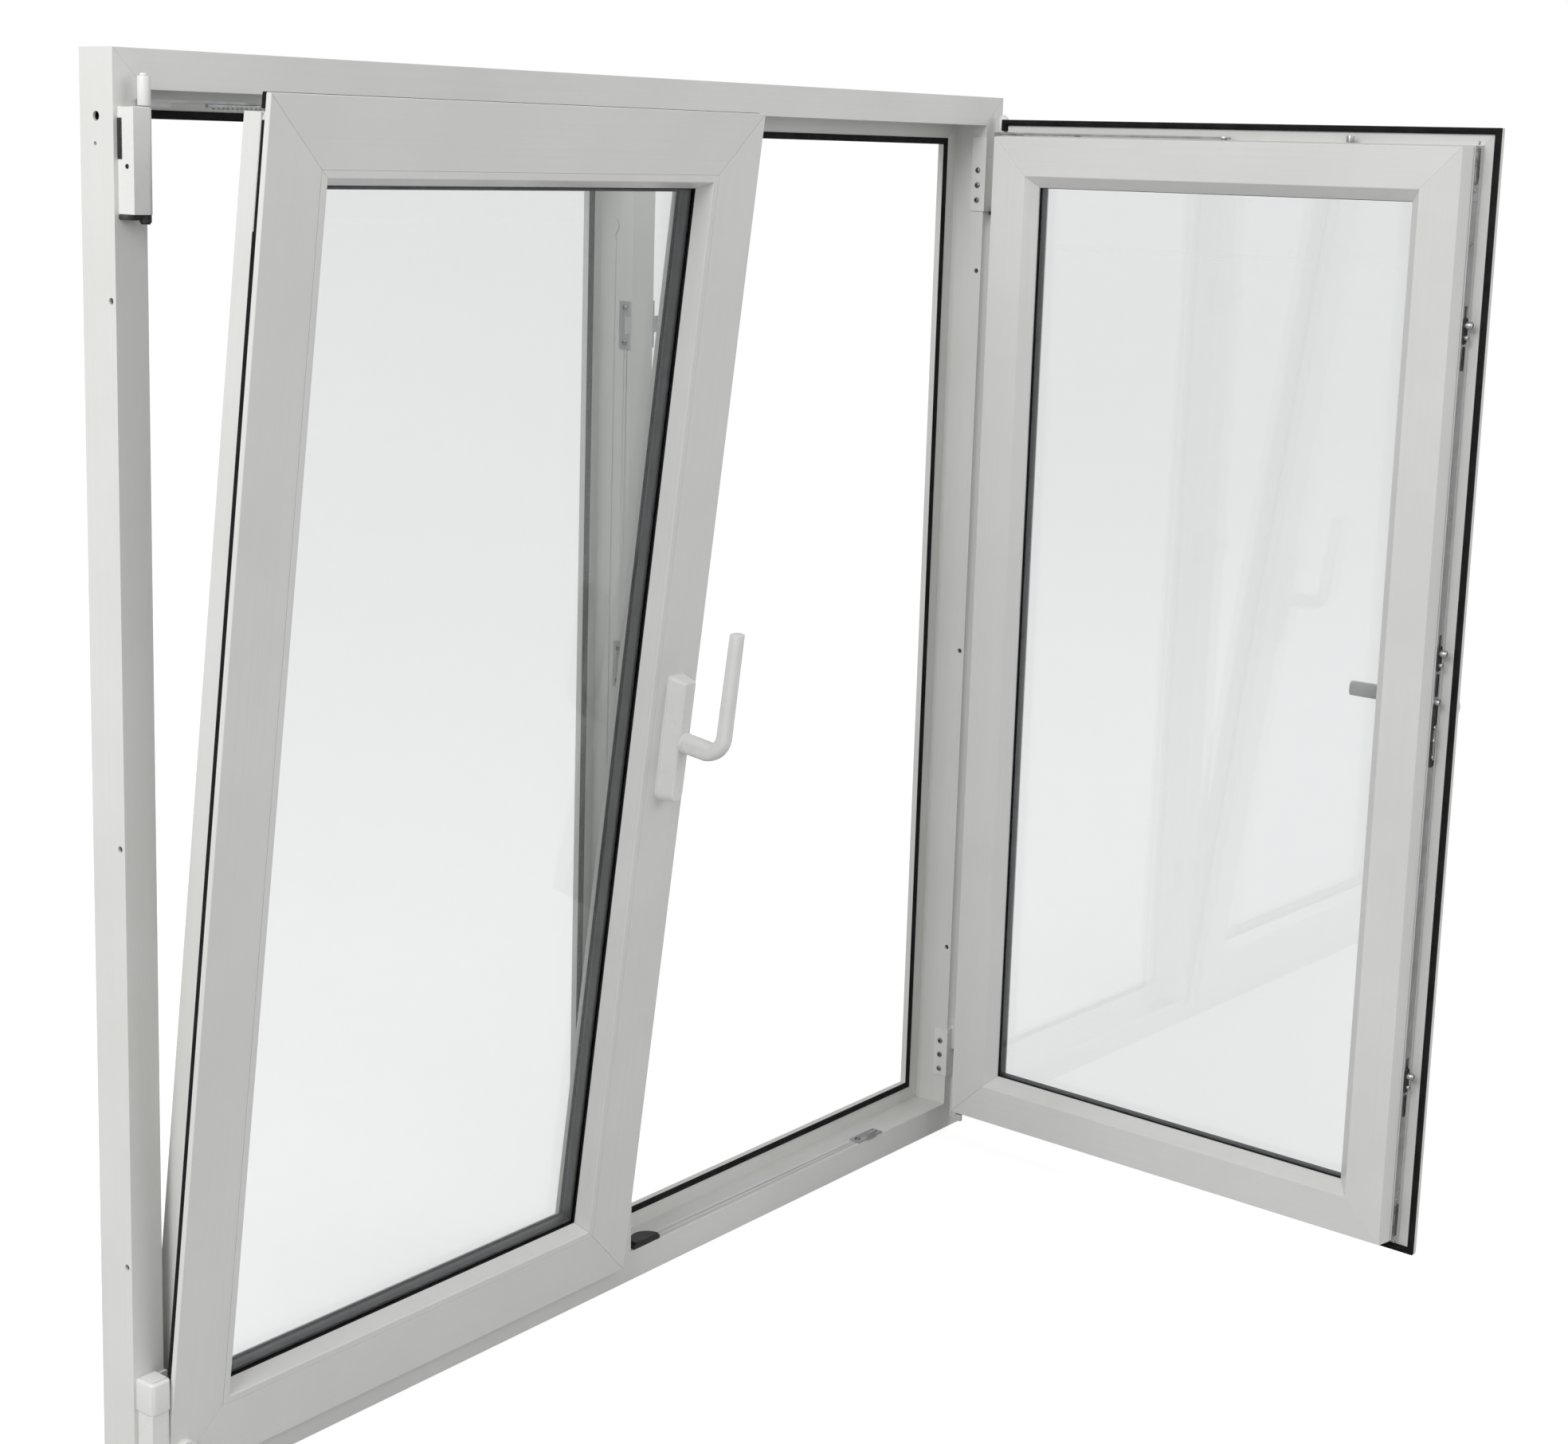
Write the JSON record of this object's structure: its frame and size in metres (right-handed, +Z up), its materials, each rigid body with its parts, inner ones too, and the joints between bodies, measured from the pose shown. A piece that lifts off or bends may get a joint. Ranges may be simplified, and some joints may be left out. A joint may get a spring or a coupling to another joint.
{
  "type": "casement window",
  "caption": "Two-sash tilt-and-turn casement window in white plastic with a fixed mullion, double glazing, lever handles and concealed locking fittings.",
  "frame": {"origin": "middle of the underside of the frame, halfway through its depth", "axes": "+X along the width, +Y from the room to the outside, +Z up; the room side and the handles face -Y"},
  "size_m": [1.47, 0.7513, 1.4],
  "materials": {
    "white_plastic": "smooth extruded, satin",
    "gloss_white": "moulded or powder coated, semi-gloss",
    "black_rubber": "matt extruded",
    "black_plastic": "moulded, matt",
    "fitting_steel": "silver zinc plated",
    "white_metal": "powder coated, semi-gloss",
    "inner_steel": "hot-dip galvanised",
    "spacer_metal": "mill finish, grey",
    "clear_glass": "clear float"
  },
  "bodies": {
    "frame": {"left_jamb": "white_plastic", "right_jamb": "white_plastic", "head": "white_plastic", "sill": "white_plastic", "mullion": "white_plastic", "frame_gaskets": "black_rubber", "frame_steel": "inner_steel", "mullion_brackets": "inner_steel", "mullion_strips": "white_plastic", "keeps": "fitting_steel", "runup_blocks": "black_plastic", "stay_bearings": "white_metal", "corner_bearings": "white_metal", "hinge_covers": "gloss_white", "fitting_screws": "fitting_steel"},
    "left_carrier": {"left_pivot": "fitting_steel"},
    "left_stay": {"left_stay_arm": "fitting_steel"},
    "left_sash": {"left_hinge_stile": "white_plastic", "left_lock_stile": "white_plastic", "left_top_rail": "white_plastic", "left_bottom_rail": "white_plastic", "left_glass": "clear_glass", "left_spacer": "spacer_metal", "left_beads": "white_plastic", "left_glazing_gasket": "black_rubber", "left_sash_gasket": "black_rubber", "left_sash_steel": "inner_steel", "left_faceplates": "fitting_steel", "left_stay_guide": "fitting_steel", "left_corner_hinge": "gloss_white", "left_gearbox": "fitting_steel", "left_handle_base": "gloss_white"},
    "left_lever": {"left_handle": "gloss_white", "left_spindle": "fitting_steel"},
    "left_drive": {"left_drive_rod": "fitting_steel"},
    "left_top_drive": {"left_top_rod": "fitting_steel"},
    "left_bottom_drive": {"left_bottom_rod": "fitting_steel"},
    "right_carrier": {"right_pivot": "fitting_steel"},
    "right_stay": {"right_stay_arm": "fitting_steel"},
    "right_sash": {"right_hinge_stile": "white_plastic", "right_lock_stile": "white_plastic", "right_top_rail": "white_plastic", "right_bottom_rail": "white_plastic", "right_glass": "clear_glass", "right_spacer": "spacer_metal", "right_beads": "white_plastic", "right_glazing_gasket": "black_rubber", "right_sash_gasket": "black_rubber", "right_sash_steel": "inner_steel", "right_faceplates": "fitting_steel", "right_stay_guide": "fitting_steel", "right_corner_hinge": "gloss_white", "right_gearbox": "fitting_steel", "right_handle_base": "gloss_white"},
    "right_lever": {"right_handle": "gloss_white", "right_spindle": "fitting_steel"},
    "right_drive": {"right_drive_rod": "fitting_steel"},
    "right_top_drive": {"right_top_rod": "fitting_steel"},
    "right_bottom_drive": {"right_bottom_rod": "fitting_steel"}
  },
  "joints": [
    {"name": "left_turn", "type": "hinge", "parent": "frame", "child": "left_carrier", "pos_m": [-0.6885, -0.0445, 0.029], "axis": [0, 0, -1], "range_deg": [0, 90]},
    {"name": "left_tilt", "type": "hinge", "parent": "left_carrier", "child": "left_sash", "pos_m": [-0.6885, -0.0445, 0.029], "axis": [1, 0, 0], "range_deg": [-7, 0]},
    {"name": "left_stay_swing", "type": "hinge", "parent": "left_carrier", "child": "left_stay", "pos_m": [-0.6885, -0.0445, 1.345], "axis": [0, 0, -1], "range_deg": [-28.17, 0]},
    {"name": "left_handle_turn", "type": "hinge", "parent": "left_sash", "child": "left_lever", "pos_m": [-0.045, -0.12244, 0.68842], "axis": [0, 0.9925, 0.1219], "range_deg": [-180, 0]},
    {"name": "left_drive_slide", "type": "slide", "parent": "left_sash", "child": "left_drive", "axis": [0, -0.1219, 0.9925], "range_m": [-0.036, 0]},
    {"name": "left_top_slide", "type": "slide", "parent": "left_sash", "child": "left_top_drive", "axis": [-1, 0, 0], "range_m": [-0.036, 0]},
    {"name": "left_bottom_slide", "type": "slide", "parent": "left_sash", "child": "left_bottom_drive", "axis": [1, 0, 0], "range_m": [-0.036, 0]},
    {"name": "right_turn", "type": "hinge", "parent": "frame", "child": "right_carrier", "pos_m": [0.6885, -0.0445, 0.029], "axis": [0, 0, 1], "range_deg": [-89, 1]},
    {"name": "right_tilt", "type": "hinge", "parent": "right_carrier", "child": "right_sash", "pos_m": [0.6885, -0.0445, 0.029], "axis": [0.0175, 0.9998, 0], "range_deg": [0, 7]},
    {"name": "right_stay_swing", "type": "hinge", "parent": "right_carrier", "child": "right_stay", "pos_m": [0.6885, -0.0445, 1.345], "axis": [0, 0, 1], "range_deg": [0, 28.17]},
    {"name": "right_handle_turn", "type": "hinge", "parent": "right_sash", "child": "right_lever", "pos_m": [0.67427, -0.68785, 0.693], "axis": [0.9998, -0.0175, 0], "range_deg": [-90, 90]},
    {"name": "right_drive_slide", "type": "slide", "parent": "right_sash", "child": "right_drive", "axis": [0, 0, 1], "range_m": [-0.018, 0.018]},
    {"name": "right_top_slide", "type": "slide", "parent": "right_sash", "child": "right_top_drive", "axis": [0.0175, 0.9998, 0], "range_m": [-0.018, 0.018]},
    {"name": "right_bottom_slide", "type": "slide", "parent": "right_sash", "child": "right_bottom_drive", "axis": [-0.0175, -0.9998, 0], "range_m": [-0.018, 0.018]}
  ],
  "couplings": [
    {"joint": "left_stay_swing", "follows": "left_tilt", "ratio": 4.023},
    {"joint": "left_drive_slide", "follows": "left_handle_turn", "m_per_rad": 0.011459},
    {"joint": "left_top_slide", "follows": "left_handle_turn", "m_per_rad": 0.011459},
    {"joint": "left_bottom_slide", "follows": "left_handle_turn", "m_per_rad": 0.011459},
    {"joint": "right_stay_swing", "follows": "right_tilt", "ratio": 4.023},
    {"joint": "right_drive_slide", "follows": "right_handle_turn", "m_per_rad": 0.011459},
    {"joint": "right_top_slide", "follows": "right_handle_turn", "m_per_rad": 0.011459},
    {"joint": "right_bottom_slide", "follows": "right_handle_turn", "m_per_rad": 0.011459}
  ]
}
